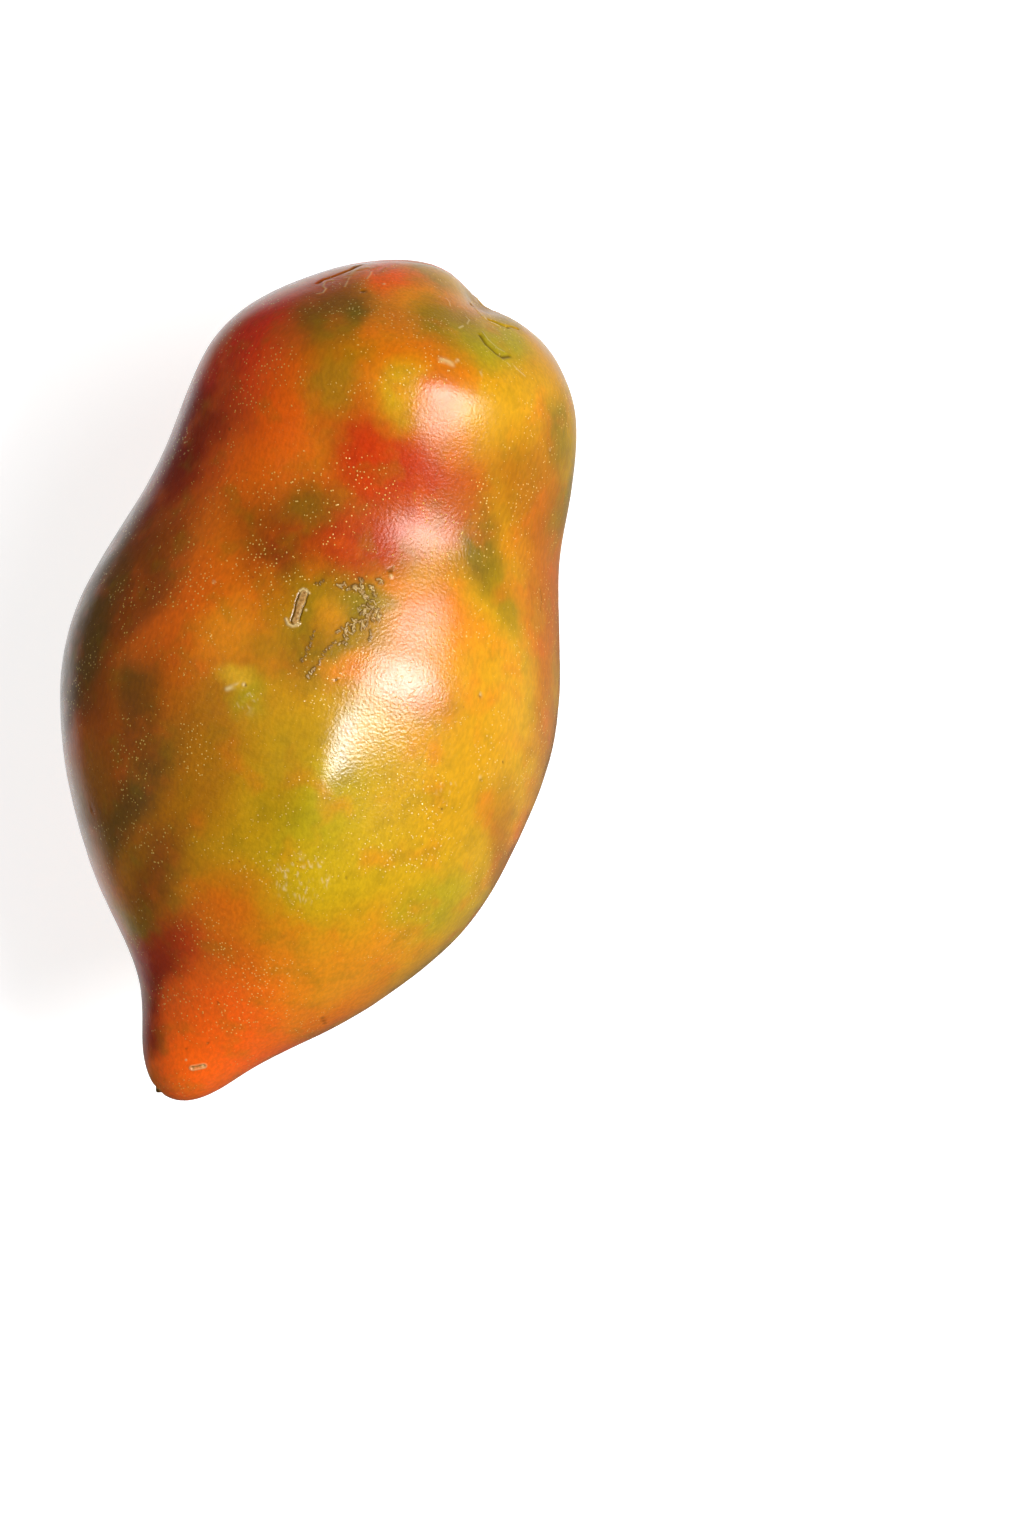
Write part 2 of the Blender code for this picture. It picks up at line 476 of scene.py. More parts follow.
def step(value, low, high):
    """A smooth step from 0 at low to 1 at high."""
    t = np.clip((value - low) / (high - low), 0, 1)
    return t * t * (3 - 2 * t)


def rough(near, size, seed=0.0):
    """Soft noise from -1 to 1 whose lumps have the given size."""
    return np.array([noise.noise(Vector(point) / size + Vector((seed, seed, seed))) for point in near])


def cover(name, index, amount):
    masks[name][index] = np.maximum(masks[name][index], np.clip(amount, 0, 1))


print("relief starts flat on", len(rise), "points")

# %% [markdown]
# No grown skin is as even as a formula. Two layers of soft noise, under a tenth of a millimetre high,
# give the highlights their slightly wavering edges. It is real relief in the mesh.
# Where the fruit rests, the skin stays flat.

# %% Faint unevenness of the whole skin
WAVE_SIZE, WAVE_HEIGHT = 7.0 * MM, 0.07 * MM
PEEL_SIZE, PEEL_HEIGHT = 2.4 * MM, 0.016 * MM

off_table = step(points[:, 2], 0.2 * MM, 3.0 * MM)
rise += off_table * (WAVE_HEIGHT * rough(points, WAVE_SIZE) + PEEL_HEIGHT * rough(points, PEEL_SIZE, 7.0))

# %% [markdown]
# The long scar is an old graze that healed with a strip of tan cork. The strip is a little ragged, and
# a thin dark line of shrunken skin runs round it.

# %% Healed graze
GRAZE_HALF_WIDTH = 0.44 * MM
GRAZE_RAGGED = 0.12 * MM
GRAZE_HEIGHT = 0.10 * MM
GRAZE_EDGE = 0.10 * MM
GRAZE_PALE = 0.50
MOAT_OUT = 0.20 * MM
MOAT_HALF_WIDTH = 0.15 * MM
MOAT_DEPTH = 0.16 * MM
MOAT_DARK = 0.85

graze = skin_path(*GRAZE)
near = near_path(graze, 2 * MM)
distance, along = path_distance(graze, points[near])
widening = GRAZE_RAGGED * bell(along - 0.2, 0.25)
half = GRAZE_HALF_WIDTH + widening + GRAZE_RAGGED * rough(points[near], 0.9 * MM)
inside = half - distance
strip = step(inside, -0.06 * MM, GRAZE_EDGE)
edge = bell(inside - GRAZE_EDGE, GRAZE_EDGE)
flaking = step(rough(points[near], 0.5 * MM, 3.0), 0.0, 0.3)
moat = bell(inside + MOAT_OUT, MOAT_HALF_WIDTH)
rise[near] += GRAZE_HEIGHT * strip - MOAT_DEPTH * moat
cover("cork", near, strip)
cover("pale", near, GRAZE_PALE * edge * flaking)
cover("dark", near, MOAT_DARK * moat)
print(len(near), "points round the graze")

# %% [markdown]
# Each crumb is a short bent bar that lies across the skin in a direction of its own. Its top is dry and
# pale, or tan. Round it the skin is painted dark: partly darkened broken skin, partly painted shade
# beside the raised crumb. The random numbers have a fixed seed, so the net comes out the same every time.

# %% Corky crumbs
CRUMB_HEIGHT = 0.20 * MM
CRUMB_SHADE = 0.30 * MM
CRUMB_BEND = 0.35
SEED = 11

chance = np.random.default_rng(SEED)
for pixels, count, stray, crumb_length, paleness in CHAINS:
    chain = skin_path(*pixels)
    near = near_path(chain, 3 * MM)
    top = np.zeros(len(near))
    for i in range(count):
        place = (i + chance.uniform(0.2, 0.8)) / count * (len(chain) - 1)
        part = min(int(place), len(chain) - 2)
        middle = chain[part] + (place - part) * (chain[part + 1] - chain[part])
        across = chance.normal(size=3)
        middle = middle + stray * MM * across
        turn = chance.uniform(0, pi)
        size = crumb_length * MM * chance.uniform(0.5, 1.1) / 2
        bar = size * np.array((cos(turn), sin(turn), 0.0))
        bend = CRUMB_BEND * size * np.array((-sin(turn), cos(turn), 0.0))
        ends = [Vector(middle - bar), Vector(middle + bend), Vector(middle + bar)]
        crumb = np.array([skin_tree.find_nearest(end)[0] for end in ends])
        slender = 0.45 + 0.55 * paleness
        half = CRUMB_HALF_WIDTH * chance.uniform(0.7, 1.2) * slender
        distance = path_distance(crumb, points[near])[0]
        body = step(distance, 1.5 * half, 0.5 * half)
        top = np.maximum(top, body)
        cover("cork", near, body * (0.3 + 0.7 * paleness))
        cover("pale", near, body * min(1.0, paleness * chance.uniform(0.1, 1.2)))
        # Painted shade round each crumb, together with darkened broken skin.
        cover("dark", near, chance.uniform(0.6, 1.0) * bell(distance, CRUMB_SHADE * (0.5 + paleness)))
    rise[near] += CRUMB_HEIGHT * (0.4 + 0.6 * paleness) * top
print("net of crumbs drawn")

# %% [markdown]
# Pits, dried cracks and pale lines are all drawn by one function, from the two lists. A pit is a line
# whose path is a single place.

# %% Pits, cracks and pale lines
DASH = 1.1 * MM


def draw_line(pixels, width, height, pale=0.0, dark=0.0, cork=0.0, broken=0.0):
    path = skin_path(*pixels)
    near = near_path(path, 4 * width * MM)
    distance, along = path_distance(path, points[near])
    line = bell(distance, width * MM)
    if broken:
        line = line * step(rough(points[near], DASH, 5.0), broken - 0.9, broken - 0.4)
    rise[near] += height * MM * line
    for name, amount in (("pale", pale), ("dark", dark), ("cork", cork)):
        cover(name, near, amount * line)


for line in LINES:
    draw_line(*line)
for pixel, radius, depth, dark, pale in PITS:
    draw_line((pixel,), radius, -depth, pale=pale, dark=dark)
print("lines and pits drawn")

# %% [markdown]
# Three places have dried into fine pale wrinkles. The wrinkles are the level lines of soft noise, as on
# a map, and a second noise breaks them into short curved dashes.

# %% Pale wrinkles
WRINKLED = (  # picture pixel, reach, size of the lumps whose level lines are drawn, lines, strength
    ((302, 879), 5.4 * MM, 2.6 * MM, 5.0, 0.75),
    ((447, 793), 2.4 * MM, 1.6 * MM, 3.0, 0.55),
    ((248, 700), 2.6 * MM, 1.8 * MM, 3.0, 0.45),
)
WRINKLE_HEIGHT = 0.06 * MM
WRINKLE_WIDTH = 0.13  # of the step from one level line to the next

for pixel, reach, size, lines, strength in WRINKLED:
    middle = np.array(skin_at(*pixel))
    near = near_path(middle[None], reach * 1.2)
    inner = step(np.linalg.norm(points[near] - middle, axis=1) / reach, 1.1, 0.6)
    level = lines * rough(points[near], size, 2.0)
    dashes = step(rough(points[near], DASH, 9.0), -0.05, 0.2)
    line = bell(level - np.round(level), WRINKLE_WIDTH) * dashes
    rise[near] += WRINKLE_HEIGHT * line * inner
    cover("pale", near, strength * line * inner)
print(len(WRINKLED), "wrinkled places")

# %% [markdown]
# Where the stalk came away, a round corky scar sits at the bottom of the stem hollow. It has a torn,
# darker middle, a rough tan ring and a raised pale lip, and short cracks run out of it into the skin.

# %% Stem scar
STEM_SCAR_RADIUS = 3.1 * MM
STEM_SCAR_RAGGED = 0.35 * MM
STEM_LIP_HALF_WIDTH = 0.35 * MM
STEM_LIP_HEIGHT = 0.30 * MM
STEM_GRAIN_HEIGHT = 0.14 * MM
TORN_RADIUS = 1.3 * MM
TORN_DEPTH = 0.45 * MM
TORN_RAGGED = 0.3 * MM
STEM_CRACK_HALF_WIDTH = 0.22 * MM
STEM_CRACK_DEPTH = 0.15 * MM
# Each crack: direction round the scar in degrees, reach in mm.
STEM_CRACKS = ((20, 6.0), (75, 5.0), (130, 6.5), (200, 5.5), (255, 7.0), (320, 5.0))

egg = egg_points(direction)
off_hollow = np.hypot(egg[:, 0] - HOLLOW_X, egg[:, 2] - HOLLOW_Z)
off_hollow[direction[:, 1] < 0] = np.inf
hollow_middle = points[off_hollow.argmin()]
from_scar = points - hollow_middle
out = np.linalg.norm(from_scar, axis=1)
near = np.flatnonzero((out < 9 * MM) & (direction[:, 1] > 0))
out = out[near]
turn = np.degrees(np.arctan2(from_scar[near, 2], from_scar[near, 0]))
ragged = STEM_SCAR_RADIUS + STEM_SCAR_RAGGED * rough(points[near], 1.6 * MM, 4.0)
disc = step(ragged - out, -0.1 * MM, 0.3 * MM)
lip = bell(out - ragged, STEM_LIP_HALF_WIDTH)
torn = step(TORN_RADIUS + TORN_RAGGED * rough(points[near], 0.8 * MM) - out, -0.1 * MM, 0.3 * MM)
grain = disc * STEM_GRAIN_HEIGHT * rough(points[near], 0.7 * MM)
rise[near] += STEM_LIP_HEIGHT * lip + grain - TORN_DEPTH * torn
cover("cork", near, disc)
cover("pale", near, 0.8 * lip)
cover("dark", near, 0.75 * torn)
for angle, reach_mm in STEM_CRACKS:
    reach = reach_mm * MM
    off_line = out * np.sin(np.radians(np.clip((turn - angle + 180) % 360 - 180, -90, 90)))
    fade = step(out, 2.4 * MM, 3.2 * MM) * step(out, reach, reach - 1.5 * MM)
    line = bell(off_line, STEM_CRACK_HALF_WIDTH) * fade
    rise[near] -= STEM_CRACK_DEPTH * line
    cover("pale", near, 0.5 * line)
print("stem scar at", hollow_middle)

# %% [markdown]
# The tip keeps two marks: a small open slit with dry lips, and the dark stub that the flower left, with
# a shallow ring round it.

# %% Tip scars
SLIT_ENDS = ((192.5, 1068), (203.5, 1066))
SLIT_HALF_WIDTH = 0.34 * MM
SLIT_DEPTH = 0.22 * MM
SLIT_LIP_OUT = 0.45 * MM
SLIT_LIP_HEIGHT = 0.12 * MM
SLIT_LIP_HALF_WIDTH = 0.16 * MM
STUB_HALF_WIDTH = 0.45 * MM
STUB_HEIGHT = 0.45 * MM
STUB_RAGGED = 0.2 * MM
RING_RADIUS = 0.9 * MM
RING_HALF_WIDTH = 0.3 * MM
RING_DEPTH = 0.15 * MM

slit = skin_path(*SLIT_ENDS)
near = near_path(slit, 2 * MM)
distance, along = path_distance(slit, points[near])
floor_of_slit = bell(distance, SLIT_HALF_WIDTH)
lips = bell(distance - SLIT_LIP_OUT, SLIT_LIP_HALF_WIDTH)
rise[near] += SLIT_LIP_HEIGHT * lips - SLIT_DEPTH * floor_of_slit
cover("cork", near, 0.9 * floor_of_slit)
cover("pale", near, 0.5 * lips + 0.9 * floor_of_slit * bell(along - 0.93, 0.10))
cover("dark", near, floor_of_slit * np.maximum(bell(along - 0.05, 0.10), 0.8 * bell(along - 0.70, 0.08)))

stub = np.array(skin_at(*STUB_PX))
near = near_path(stub[None], 3 * MM)
out = np.linalg.norm(points[near] - stub, axis=1) + STUB_RAGGED * rough(points[near], 0.7 * MM)
ring = bell(out - RING_RADIUS, RING_HALF_WIDTH)
rise[near] += STUB_HEIGHT * bell(out, STUB_HALF_WIDTH) - RING_DEPTH * ring
cover("dark", near, step(out, 0.95 * MM, 0.45 * MM))
cover("cork", near, bell(out - 1.0 * MM, 0.35 * MM))
print("blossom stub at", stub)

# %% [markdown]
# The relief is added along the smooth skin's normals, and the masks become point attributes of the
# mesh, which the material reads by name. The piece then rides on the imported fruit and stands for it.

# %% The finished skin
with_relief = points + normals * rise[:, None]
with_relief[:, 2] = np.maximum(with_relief[:, 2], 0.0)
mesh.vertices.foreach_set("co", with_relief.ravel())
for name, values in masks.items():
    attribute = mesh.attributes.new(name, "FLOAT", "POINT")
    attribute.data.foreach_set("value", values)
mesh.update()
skin = add_object("tomato_skin", mesh)
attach(skin, "root")
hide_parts("tomato")
print(f"relief from {rise.min() / MM:.2f} to {rise.max() / MM:.2f} mm")

# %% [markdown]
# The skin's paint is built from small node groups. These helpers keep the cells short: one adds a
# node, others join sockets or set their plain values, and one makes a group with named sockets.

# %% Helpers for nodes
def add(tree, kind, **settings):
    node = tree.nodes.new("ShaderNode" + kind)
    for name, value in settings.items():
        setattr(node, name, value)
    return node


def feed(tree, socket, value):
    """Joins a socket to another one, or sets its plain value."""
    if isinstance(value, bpy.types.NodeSocket):
        tree.links.new(value, socket)
    elif socket.type == "RGBA":
        socket.default_value = (*value, 1.0)
    else:
        socket.default_value = value


def wire(tree, node, values):
    """Feeds a node's inputs by their names, and gives its outputs."""
    for name, value in values.items():
        feed(tree, node.inputs[name], value)
    return node.outputs


def maths(tree, operation, *values, kind="Math"):
    node = add(tree, kind, operation=operation)
    for socket, value in zip(node.inputs, values):
        feed(tree, socket, value)
    return node.outputs[0]


def vector_maths(tree, operation, *values):
    return maths(tree, operation, *values, kind="VectorMath")


def smooth(tree, value, low, high, bottom=0.0, top=1.0):
    node = add(tree, "MapRange", interpolation_type="SMOOTHSTEP")
    span = {"From Min": low, "From Max": high, "To Min": bottom, "To Max": top}
    return wire(tree, node, {"Value": value, **span})["Result"]


def clouds(tree, place, lump, detail=1.0):
    """Soft noise whose lumps have the given size."""
    return wire(tree, add(tree, "TexNoise"), {"Vector": place, "Scale": 1 / lump, "Detail": detail})


def blend(tree, amount, first, second, mode="MIX"):
    node = add(tree, "Mix", data_type="RGBA", blend_type=mode)
    for socket, value in ((node.inputs[0], amount), (node.inputs[6], first), (node.inputs[7], second)):
        feed(tree, socket, value)
    return node.outputs[2]


def new_group(name, inputs, outputs):
    """An empty node group, with the sockets that come in and go out."""
    tree = bpy.data.node_groups.new(name, "ShaderNodeTree")
    for side, sockets in (("INPUT", inputs), ("OUTPUT", outputs)):
        for title, kind in sockets:
            tree.interface.new_socket(name=title, in_out=side, socket_type="NodeSocket" + kind)
    return tree, tree.nodes.new("NodeGroupInput").outputs, tree.nodes.new("NodeGroupOutput").inputs


def use(tree, group_tree, **values):
    return wire(tree, add(tree, "Group", node_tree=group_tree), values)


print("node helpers are ready")

# %% [markdown]
# A ripening tomato colours in soft patches, because some parts of its wall turn before others. Each
# patch here is an ellipsoid with a soft edge, placed on the skin. A Mapping node moves, turns and
# stretches space so that the ellipsoid becomes a ball, and a spherical gradient falls from its middle to
# its edge. Ellipsoids stay sharp at any size and run on naturally over the curve of the fruit.

# %% Soft patch and painted patch
PATCH_SOCKETS = [("Place", "Vector"), ("Middle", "Vector"), ("Reach", "Vector"), ("Turn", "Vector")]
PATCH_SOCKETS += [("Fade", "Float"), ("Strength", "Float")]

patch, given, result = new_group("soft patch", PATCH_SOCKETS, [("Mask", "Float")])
inside = add(patch, "Mapping", vector_type="TEXTURE")
for socket, name in (("Vector", "Place"), ("Location", "Middle"), ("Rotation", "Turn"), ("Scale", "Reach")):
    feed(patch, inside.inputs[socket], given[name])
ball = add(patch, "TexGradient", gradient_type="SPHERICAL")
feed(patch, ball.inputs["Vector"], inside.outputs["Vector"])
feed(patch, result["Mask"], smooth(patch, ball.outputs["Fac"], 0.0, given["Fade"], 0.0, given["Strength"]))

paints = [("Paint", "Color"), ("Colour", "Color")]
painted_patch, given, result = new_group("painted patch", paints + PATCH_SOCKETS, paints[:1])
mask = use(painted_patch, patch, **{name: given[name] for name, kind in PATCH_SOCKETS})["Mask"]
feed(painted_patch, result["Paint"], blend(painted_patch, mask, given["Paint"], given["Colour"]))

DEPTH_OF_PATCH = 1.3  # below the skin, as a share of its longest reach
USUAL_SOFTNESS = 0.7


def patch_values(pixel, reach_mm, lean, strength, softness=USUAL_SOFTNESS):
    """The patch group's values for a patch of the picture, placed on the skin."""
    across, along = reach_mm
    reach = Vector((across, along, DEPTH_OF_PATCH * max(across, along))) * MM
    return {
        "Middle": skin_at(*pixel),
        "Reach": reach * (1 + softness),
        "Turn": (0.0, 0.0, -radians(lean)),
        "Fade": 2 * softness / (1 + softness),
        "Strength": strength,
    }


print("patch groups:", patch.name, "and", painted_patch.name)

# %% [markdown]
# Warped space makes the patches' edges run and fray. The place that each patch is measured in is moved
# by three layers of noise, from lumps of a centimetre and a half down to a grain of a millimetre.

# %% Frayed place
FRAY = ((14 * MM, 9 * MM), (4.0 * MM, 3.0 * MM), (1.0 * MM, 0.8 * MM))  # size of the lumps, shift

fray, given, result = new_group("frayed place", [("Place", "Vector")], [("Place", "Vector")])
place = given["Place"]
for lump, shift in FRAY:
    centred = vector_maths(fray, "SUBTRACT", clouds(fray, given["Place"], lump)["Color"], (0.5, 0.5, 0.5))
    place = vector_maths(fray, "ADD", place, vector_maths(fray, "MULTIPLY", centred, (shift, shift, shift)))
feed(fray, result["Place"], place)
print(len(FRAY), "layers of fray")

# %% [markdown]
# Fine pale dots cover the skin: its pores. They are the middles of the cells of a Voronoi texture, cut
# to small discs, and a soft noise makes them crowd in some places and fade in others.

# %% Pores
CROWD_LUMP = 9 * MM
PORE_CORE = 0.4  # the part of the radius that is fully coloured

pores, given, result = new_group(
    "pores",
    [("Place", "Vector"), ("Pitch", "Float"), ("Radius", "Float"), ("Crowding", "Float")],
    [("Mask", "Float")],
)
cells = add(pores, "TexVoronoi", feature="F1")
feed(pores, cells.inputs["Vector"], given["Place"])
feed(pores, cells.inputs["Scale"], maths(pores, "DIVIDE", 1.0, given["Pitch"]))
fewest = maths(pores, "SUBTRACT", 1.0, given["Crowding"])
crowd = smooth(pores, clouds(pores, given["Place"], CROWD_LUMP, 2.0)["Fac"], 0.40, 0.62, fewest, 1.15)
radius = maths(pores, "MULTIPLY", maths(pores, "DIVIDE", given["Radius"], given["Pitch"]), crowd)
core = maths(pores, "MULTIPLY", radius, PORE_CORE)
feed(pores, result["Mask"], smooth(pores, cells.outputs["Distance"], radius, core))
print("pores group made")

# %% [markdown]
# The fruit's colours are few: they run from leaf green through olive and gold to orange and red, and
# they go brown where red lies over green. They are named here once, as linear colours.

# %% Palette
PALETTE = {
    "gold": (0.62, 0.31, 0.003),
    "olive gold": (0.52, 0.29, 0.002),
    "leaf gold": (0.58, 0.37, 0.003),
    "spring green": (0.42, 0.33, 0.004),
    "leaf green": (0.25, 0.17, 0.002),
    "olive": (0.30, 0.18, 0.001),
    "dark olive": (0.24, 0.10, 0.001),
    "dark green": (0.15, 0.10, 0.003),
    "grey green": (0.14, 0.07, 0.008),
    "bronze": (0.41, 0.14, 0.001),
    "amber": (0.68, 0.16, 0.001),
    "tan orange": (0.76, 0.26, 0.004),
    "orange": (0.80, 0.13, 0.001),
    "vermilion": (1.00, 0.13, 0.002),
    "red": (0.72, 0.020, 0.001),
    "deep red": (0.42, 0.030, 0.001),
    "rust": (0.44, 0.09, 0.001),
    "brown": (0.28, 0.060, 0.001),
    "maroon": (0.22, 0.015, 0.002),
    "pale leaf": (0.70, 0.38, 0.012),
}
print(len(PALETTE), "colours")

# %% [markdown]
# The patches go on in order, from the ground colours of whole regions down to small spots, as a painter
# would lay them. Each has the picture pixel of its middle, its reach in mm across and along the fruit,
# its lean to the right in degrees, its colour and its strength. Where its edge is harder than usual,
# its softness comes last.

# %% Colour patches
PATCHES = (
    # Ground colours of whole regions
    ((250, 560), (24, 42), 10, "amber", 1.0),
    ((320, 790), (23, 22), 0, "olive gold", 0.95, 0.6),
    ((410, 890), (20, 20), -25, "leaf gold", 0.8, 0.6),
    ((490, 740), (13, 26), 0, "gold", 0.95, 0.6),
    ((430, 350), (20, 15), 0, "amber", 0.7, 0.5),
    ((520, 400), (10, 17), -10, "gold", 0.95, 0.6),
    ((320, 980), (20, 8), -40, "tan orange", 0.95),
    ((200, 1040), (14, 17), 10, "vermilion", 1.0, 0.5),
    ((190, 770), (8, 22), 12, "bronze", 0.8, 0.6),
    ((225, 925), (9, 9), 0, "orange", 0.7),
    ((102, 640), (6, 30), 12, "brown", 0.9, 0.6),
    # Shoulder
    ((238, 380), (10, 23), 24, "red", 0.95, 0.5),
    ((210, 335), (4, 15), 28, "rust", 0.8, 0.6),
    ((190, 430), (5, 11), 20, "maroon", 0.95, 0.6),
    ((250, 430), (8, 16), 24, "vermilion", 0.6),
    ((310, 350), (5, 10), 0, "orange", 0.8),
    ((388, 276), (7, 4), 20, "vermilion", 1.0, 0.6),
    ((428, 300), (5, 4), 0, "tan orange", 0.8),
    ((331, 312), (6, 8), 10, "dark olive", 0.9, 0.6),
    ((350, 322), (2.5, 5), 0, "dark green", 0.8),
    ((342, 365), (5, 9), -14, "olive", 0.7),
    ((322, 420), (2.5, 9), -10, "olive", 0.35),
    ((453, 325), (5, 6), -20, "olive", 0.9, 0.6),
    ((495, 343), (8, 4), -50, "spring green", 0.9, 0.6),
    ((478, 305), (4, 4), 0, "leaf green", 0.7, 0.6),
    ((402, 406), (4, 6), 0, "leaf gold", 0.8),
    ((560, 440), (2.5, 7), -14, "leaf green", 1.0),
    # Waist
    ((178, 480), (6, 16), 28, "maroon", 0.8),
    ((300, 530), (14, 8), 0, "rust", 0.7, 0.6),
    ((382, 465), (10, 8), 10, "deep red", 0.85, 0.5),
    ((380, 458), (8, 5), 0, "red", 0.4),
    ((445, 500), (9, 10), 0, "deep red", 0.7, 0.6),
    ((350, 538), (10, 6), 0, "deep red", 0.9, 0.6),
    ((285, 540), (8, 8), 0, "brown", 0.75, 0.6),
    ((297, 560), (5, 4), 0, "maroon", 0.6),
    ((308, 507), (4, 3), 0, "dark olive", 0.9),
    ((258, 450), (7, 7), 0, "orange", 0.6),
    ((525, 478), (6, 8), -10, "bronze", 0.95),
    ((484, 556), (4, 6), -16, "dark green", 0.85, 0.6),
    ((500, 595), (3, 6), -16, "olive", 0.8),
    ((545, 570), (4, 16), -12, "rust", 0.8),
    # Round the scars, and the left flank
    ((328, 620), (9, 9), 0, "olive", 0.9, 0.6),
    ((362, 600), (3, 3), 0, "leaf green", 0.8),
    ((337, 611), (2.5, 3), 0, "tan orange", 0.6),
    ((310, 650), (4, 6), 10, "dark olive", 0.5),
    ((348, 664), (4, 2.5), 0, "tan orange", 0.8),
    ((176, 615), (8, 13), 14, "orange", 0.8),
    ((218, 632), (5, 6), 0, "tan orange", 0.7),
    ((140, 590), (4, 12), 20, "brown", 0.8),
    ((135, 700), (4, 6), 0, "dark green", 0.9),
    ((100, 780), (6, 24), 14, "brown", 0.7, 0.6),
    ((130, 800), (4, 14), 14, "grey green", 0.8),
    ((85, 620), (4, 24), 4, "grey green", 0.9, 0.6),
    # Belly and tip
    ((248, 702), (3.5, 3.5), 0, "spring green", 0.7),
    ((231, 684), (3, 2), 0, "pale leaf", 0.9),
    ((322, 815), (6, 9), 10, "spring green", 0.75),
    ((300, 880), (7, 6), 0, "leaf gold", 0.8),
    ((430, 910), (7, 5), -20, "spring green", 0.8),
    ((505, 850), (3, 12), -26, "bronze", 0.8),
    ((548, 690), (2.5, 16), -14, "rust", 0.6),
    ((150, 880), (4, 10), 14, "brown", 0.8),
    ((175, 945), (5, 8), 14, "red", 0.6),
    ((150, 985), (4.5, 16), 8, "deep red", 1.0),
    ((146, 1020), (2.5, 10), 8, "maroon", 0.6),
    ((325, 1020), (8, 3), -45, "orange", 0.6),
    # Small spots under the highlights
    ((408, 690), (9, 5.5), 10, "rust", 0.6),
    ((350, 742), (2.4, 6), -14, "olive", 0.8),
    ((448, 402), (4, 6), 0, "rust", 0.5),
)
print(len(PATCHES), "patches")

# %% [markdown]
# The paint of the whole skin starts with drifting clouds of red, amber, gold and green, which is all
# that the hidden back gets. The patches go over it, on the frayed place. Then come mottling, a fine
# grain and the pores.

# %% Paint of the skin
skin_material = bpy.data.materials.new("tomato skin")
skin_material.use_nodes = True
tree = skin_material.node_tree
shader = tree.nodes["Principled BSDF"]
place = add(tree, "TexCoord").outputs["Object"]
frayed = use(tree, fray, Place=place)["Place"]

GROUND_LUMP = 26 * MM
GROUND = ((0.30, "leaf green"), (0.42, "olive gold"), (0.55, "amber"), (0.66, "vermilion"), (0.80, "red"))
ground = add(tree, "ValToRGB")
feed(tree, ground.inputs["Fac"], clouds(tree, frayed, GROUND_LUMP)["Fac"])
ramp = ground.color_ramp.elements
for place_on_ramp, name in GROUND:
    ramp.new(place_on_ramp).color = (*PALETTE[name], 1.0)
ramp.remove(ramp[-1])
ramp.remove(ramp[0])
paint = ground.outputs["Color"]

for pixel, reach, lean, colour, strength, *softness in PATCHES:
    values = patch_values(pixel, reach, lean, strength, *softness)
    paint = use(tree, painted_patch, Paint=paint, Colour=PALETTE[colour], Place=frayed, **values)["Paint"]
print(len(tree.nodes), "nodes so far")

# %% [markdown]
# No patch of a real fruit is one flat colour. Small clouds pull the paint a little towards orange and
# towards green, and a finer grain makes it lighter and darker. The grain is drawn out along the fruit.

# %% Mottling
WARM_LUMP, WARM_SHARE = 7 * MM, 0.30
GREEN_LUMP, GREEN_SHARE = 5 * MM, 0.28
GREEN_ELSEWHERE = (0.3, 0.1, 0.2)  # the green clouds come from another part of the noise
CLOUD_EDGE, CLOUD_CORE = 0.50, 0.75
GRAIN_SIZE = 0.6 * MM
ALONG_FRUIT = (1.0, 0.45, 1.0)
GRAIN_DARK, GRAIN_LIGHT = 0.90, 1.10

mottle, given, result = new_group(
    "mottling", [("Paint", "Color"), ("Place", "Vector")], [("Paint", "Color")]
)
warm = clouds(mottle, given["Place"], WARM_LUMP, 2.0)["Fac"]
warm = smooth(mottle, warm, CLOUD_EDGE, CLOUD_CORE, 0.0, WARM_SHARE)
mottled = blend(mottle, warm, given["Paint"], PALETTE["orange"])
shifted = vector_maths(mottle, "ADD", given["Place"], GREEN_ELSEWHERE)
green = clouds(mottle, shifted, GREEN_LUMP, 2.0)["Fac"]
green = smooth(mottle, green, CLOUD_EDGE, CLOUD_CORE, 0.0, GREEN_SHARE)
mottled = blend(mottle, green, mottled, PALETTE["leaf green"])
stretched = vector_maths(mottle, "MULTIPLY", given["Place"], ALONG_FRUIT)
grain = clouds(mottle, stretched, GRAIN_SIZE)["Fac"]
grain = smooth(mottle, grain, 0.20, 0.80, GRAIN_DARK, GRAIN_LIGHT)
grey = add(mottle, "CombineColor")
for socket in grey.inputs:
    feed(mottle, socket, grain)
feed(mottle, result["Paint"], blend(mottle, 1.0, mottled, grey.outputs[0], "MULTIPLY"))

PORE_COLOUR = (0.88, 0.60, 0.14)
FLECK_COLOUR = (0.30, 0.05, 0.002)
LARGE_PORES_SHOW, SMALL_PORES_SHOW, FLECKS_SHOW = 0.60, 0.80, 0.60
paint = use(tree, mottle, Paint=paint, Place=place)["Paint"]
large_pores = use(tree, pores, Place=place, Pitch=2.1 * MM, Radius=0.20 * MM, Crowding=0.55)["Mask"]
small_pores = use(tree, pores, Place=place, Pitch=0.72 * MM, Radius=0.16 * MM, Crowding=0.70)["Mask"]
flecks = use(tree, pores, Place=frayed, Pitch=5.5 * MM, Radius=0.28 * MM, Crowding=0.90)["Mask"]
paint = blend(tree, maths(tree, "MULTIPLY", flecks, FLECKS_SHOW), paint, FLECK_COLOUR)
paint = blend(tree, maths(tree, "MULTIPLY", small_pores, SMALL_PORES_SHOW), paint, PORE_COLOUR)
paint = blend(tree, maths(tree, "MULTIPLY", large_pores, LARGE_PORES_SHOW), paint, PORE_COLOUR)
print("mottling and pores go on")

# %% [markdown]
# Scar tissue is dead and dry. Cork is tan, its raised rims and crumbs dry to a pale straw colour, and
# the gaps between them hold brown shadow and dirt. The three masks come from the mesh.

# %% Scar colours
CORK = (0.50, 0.27, 0.08)
CORK_DARK = (0.28, 0.13, 0.03)
STRAW = (0.74, 0.54, 0.23)
SHADE_AND_DIRT = (0.090, 0.040, 0.003)
CORK_GRAIN = 0.5 * MM


